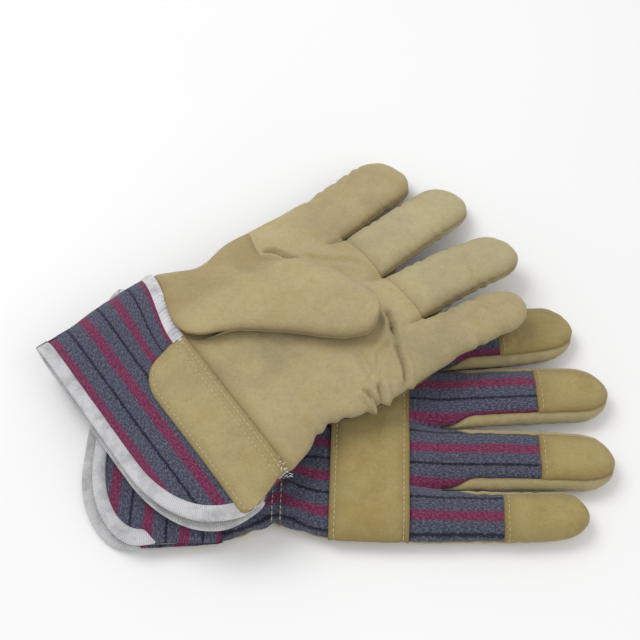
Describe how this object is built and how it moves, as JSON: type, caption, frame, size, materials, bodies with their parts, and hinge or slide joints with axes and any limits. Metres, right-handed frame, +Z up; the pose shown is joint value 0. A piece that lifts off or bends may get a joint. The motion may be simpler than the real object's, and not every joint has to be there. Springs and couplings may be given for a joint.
{
  "type": "pair of gardening gloves",
  "caption": "Pair of leather and striped cloth work gloves, one laid across the other: fabric gauntlet cuffs, leather palms, fingers, thumbs and knuckle straps",
  "frame": {"origin": "on the table, at the flat face of the right glove's palm", "axes": "+X along the right glove from cuff to fingertips, +Z up from the table, +Y towards the right glove's thumb side"},
  "size_m": [0.2902, 0.2318, 0.0498],
  "materials": {
    "leather": "napped split leather, tan",
    "cloth": "striped cotton drill, blue-grey with crimson and navy stripes",
    "tape": "white woven binding tape",
    "elastic": "flat braided elastic",
    "lining": "undyed brushed cotton"
  },
  "bodies": {
    "right_hand": {"right_palm": "leather", "right_back_cloth": "cloth", "right_knuckle_strap": "leather", "right_wrist_elastic": "elastic", "right_palm_lining": "lining"},
    "right_gauntlet": {"right_cuff": "cloth", "right_hem_binding": "tape", "right_wrist_binding": "tape", "right_wrist_patch": "leather"},
    "right_thumb": {"right_thumb_back": "leather", "right_thumb_front": "leather"},
    "right_index": {"right_index_front": "leather", "right_index_back": "cloth", "right_index_cap": "leather", "right_index_gusset_outward": "leather"},
    "right_middle": {"right_middle_front": "leather", "right_middle_back": "cloth", "right_middle_cap": "leather", "right_middle_gusset_thumbward": "leather", "right_middle_gusset_outward": "leather"},
    "right_ring": {"right_ring_front": "leather", "right_ring_back": "cloth", "right_ring_cap": "leather", "right_ring_gusset_thumbward": "leather", "right_ring_gusset_outward": "leather"},
    "right_little": {"right_little_front": "leather", "right_little_back": "cloth", "right_little_cap": "leather", "right_little_gusset_thumbward": "leather"},
    "left_hand": {"left_palm": "leather", "left_back_cloth": "cloth", "left_knuckle_strap": "leather", "left_wrist_elastic": "elastic", "left_palm_lining": "lining"},
    "left_gauntlet": {"left_cuff": "cloth", "left_hem_binding": "tape", "left_wrist_binding": "tape", "left_wrist_patch": "leather"},
    "left_thumb": {"left_thumb_back": "leather", "left_thumb_front": "leather"},
    "left_index": {"left_index_front": "leather", "left_index_back": "cloth", "left_index_cap": "leather", "left_index_gusset_outward": "leather"},
    "left_middle": {"left_middle_front": "leather", "left_middle_back": "cloth", "left_middle_cap": "leather", "left_middle_gusset_thumbward": "leather", "left_middle_gusset_outward": "leather"},
    "left_ring": {"left_ring_front": "leather", "left_ring_back": "cloth", "left_ring_cap": "leather", "left_ring_gusset_thumbward": "leather", "left_ring_gusset_outward": "leather"},
    "left_little": {"left_little_front": "leather", "left_little_back": "cloth", "left_little_cap": "leather", "left_little_gusset_thumbward": "leather"}
  },
  "joints": [
    {"name": "pair_lift", "type": "slide", "parent": "right_hand", "child": "left_hand", "axis": [0, 0, 1], "range_m": [0, 0.15]},
    {"name": "right_wrist_bend", "type": "hinge", "parent": "right_hand", "child": "right_gauntlet", "pos_m": [-0.0527, 0.00299, 0], "axis": [-0.0349, -0.9994, 0], "range_deg": [0, 35]},
    {"name": "right_index_bend", "type": "hinge", "parent": "right_hand", "child": "right_index", "pos_m": [0.05298, 0.04633, 0], "axis": [0.0349, 0.9994, 0], "range_deg": [0, 75]},
    {"name": "right_middle_bend", "type": "hinge", "parent": "right_hand", "child": "right_middle", "pos_m": [0.05178, 0.0121, 0], "axis": [0.0349, 0.9994, 0], "range_deg": [0, 75]},
    {"name": "right_ring_bend", "type": "hinge", "parent": "right_hand", "child": "right_ring", "pos_m": [0.05061, -0.02138, 0], "axis": [0.0349, 0.9994, 0], "range_deg": [0, 75]},
    {"name": "right_little_bend", "type": "hinge", "parent": "right_hand", "child": "right_little", "pos_m": [0.04956, -0.05161, 0], "axis": [0.0349, 0.9994, 0], "range_deg": [0, 75]},
    {"name": "right_thumb_swing", "type": "hinge", "parent": "right_hand", "child": "right_thumb", "pos_m": [-0.01481, 0.0652, 0], "axis": [-0.9993, -0.0379, 0], "range_deg": [0, 90]},
    {"name": "left_wrist_bend", "type": "hinge", "parent": "left_hand", "child": "left_gauntlet", "pos_m": [-0.05678, 0.01916, 0.0371], "axis": [-0.5877, 0.8089, -0.0138], "range_deg": [0, 35]},
    {"name": "left_index_bend", "type": "hinge", "parent": "left_hand", "child": "left_index", "pos_m": [-0.0069, 0.1135, 0.02698], "axis": [0.5843, -0.8043, 0.1082], "range_deg": [0, 75]},
    {"name": "left_middle_bend", "type": "hinge", "parent": "left_hand", "child": "left_middle", "pos_m": [0.01324, 0.08579, 0.03128], "axis": [0.583, -0.8024, 0.1275], "range_deg": [0, 75]},
    {"name": "left_ring_bend", "type": "hinge", "parent": "left_hand", "child": "left_ring", "pos_m": [0.03293, 0.05869, 0.03523], "axis": [0.5852, -0.8055, 0.093], "range_deg": [0, 75]},
    {"name": "left_little_bend", "type": "hinge", "parent": "left_hand", "child": "left_little", "pos_m": [0.05071, 0.03421, 0.03705], "axis": [0.5877, -0.8088, 0.021], "range_deg": [0, 75]},
    {"name": "left_thumb_swing", "type": "hinge", "parent": "left_hand", "child": "left_thumb", "pos_m": [-0.06733, 0.08936, 0.0316], "axis": [-0.8286, -0.5528, 0.0882], "range_deg": [0, 140]}
  ]
}
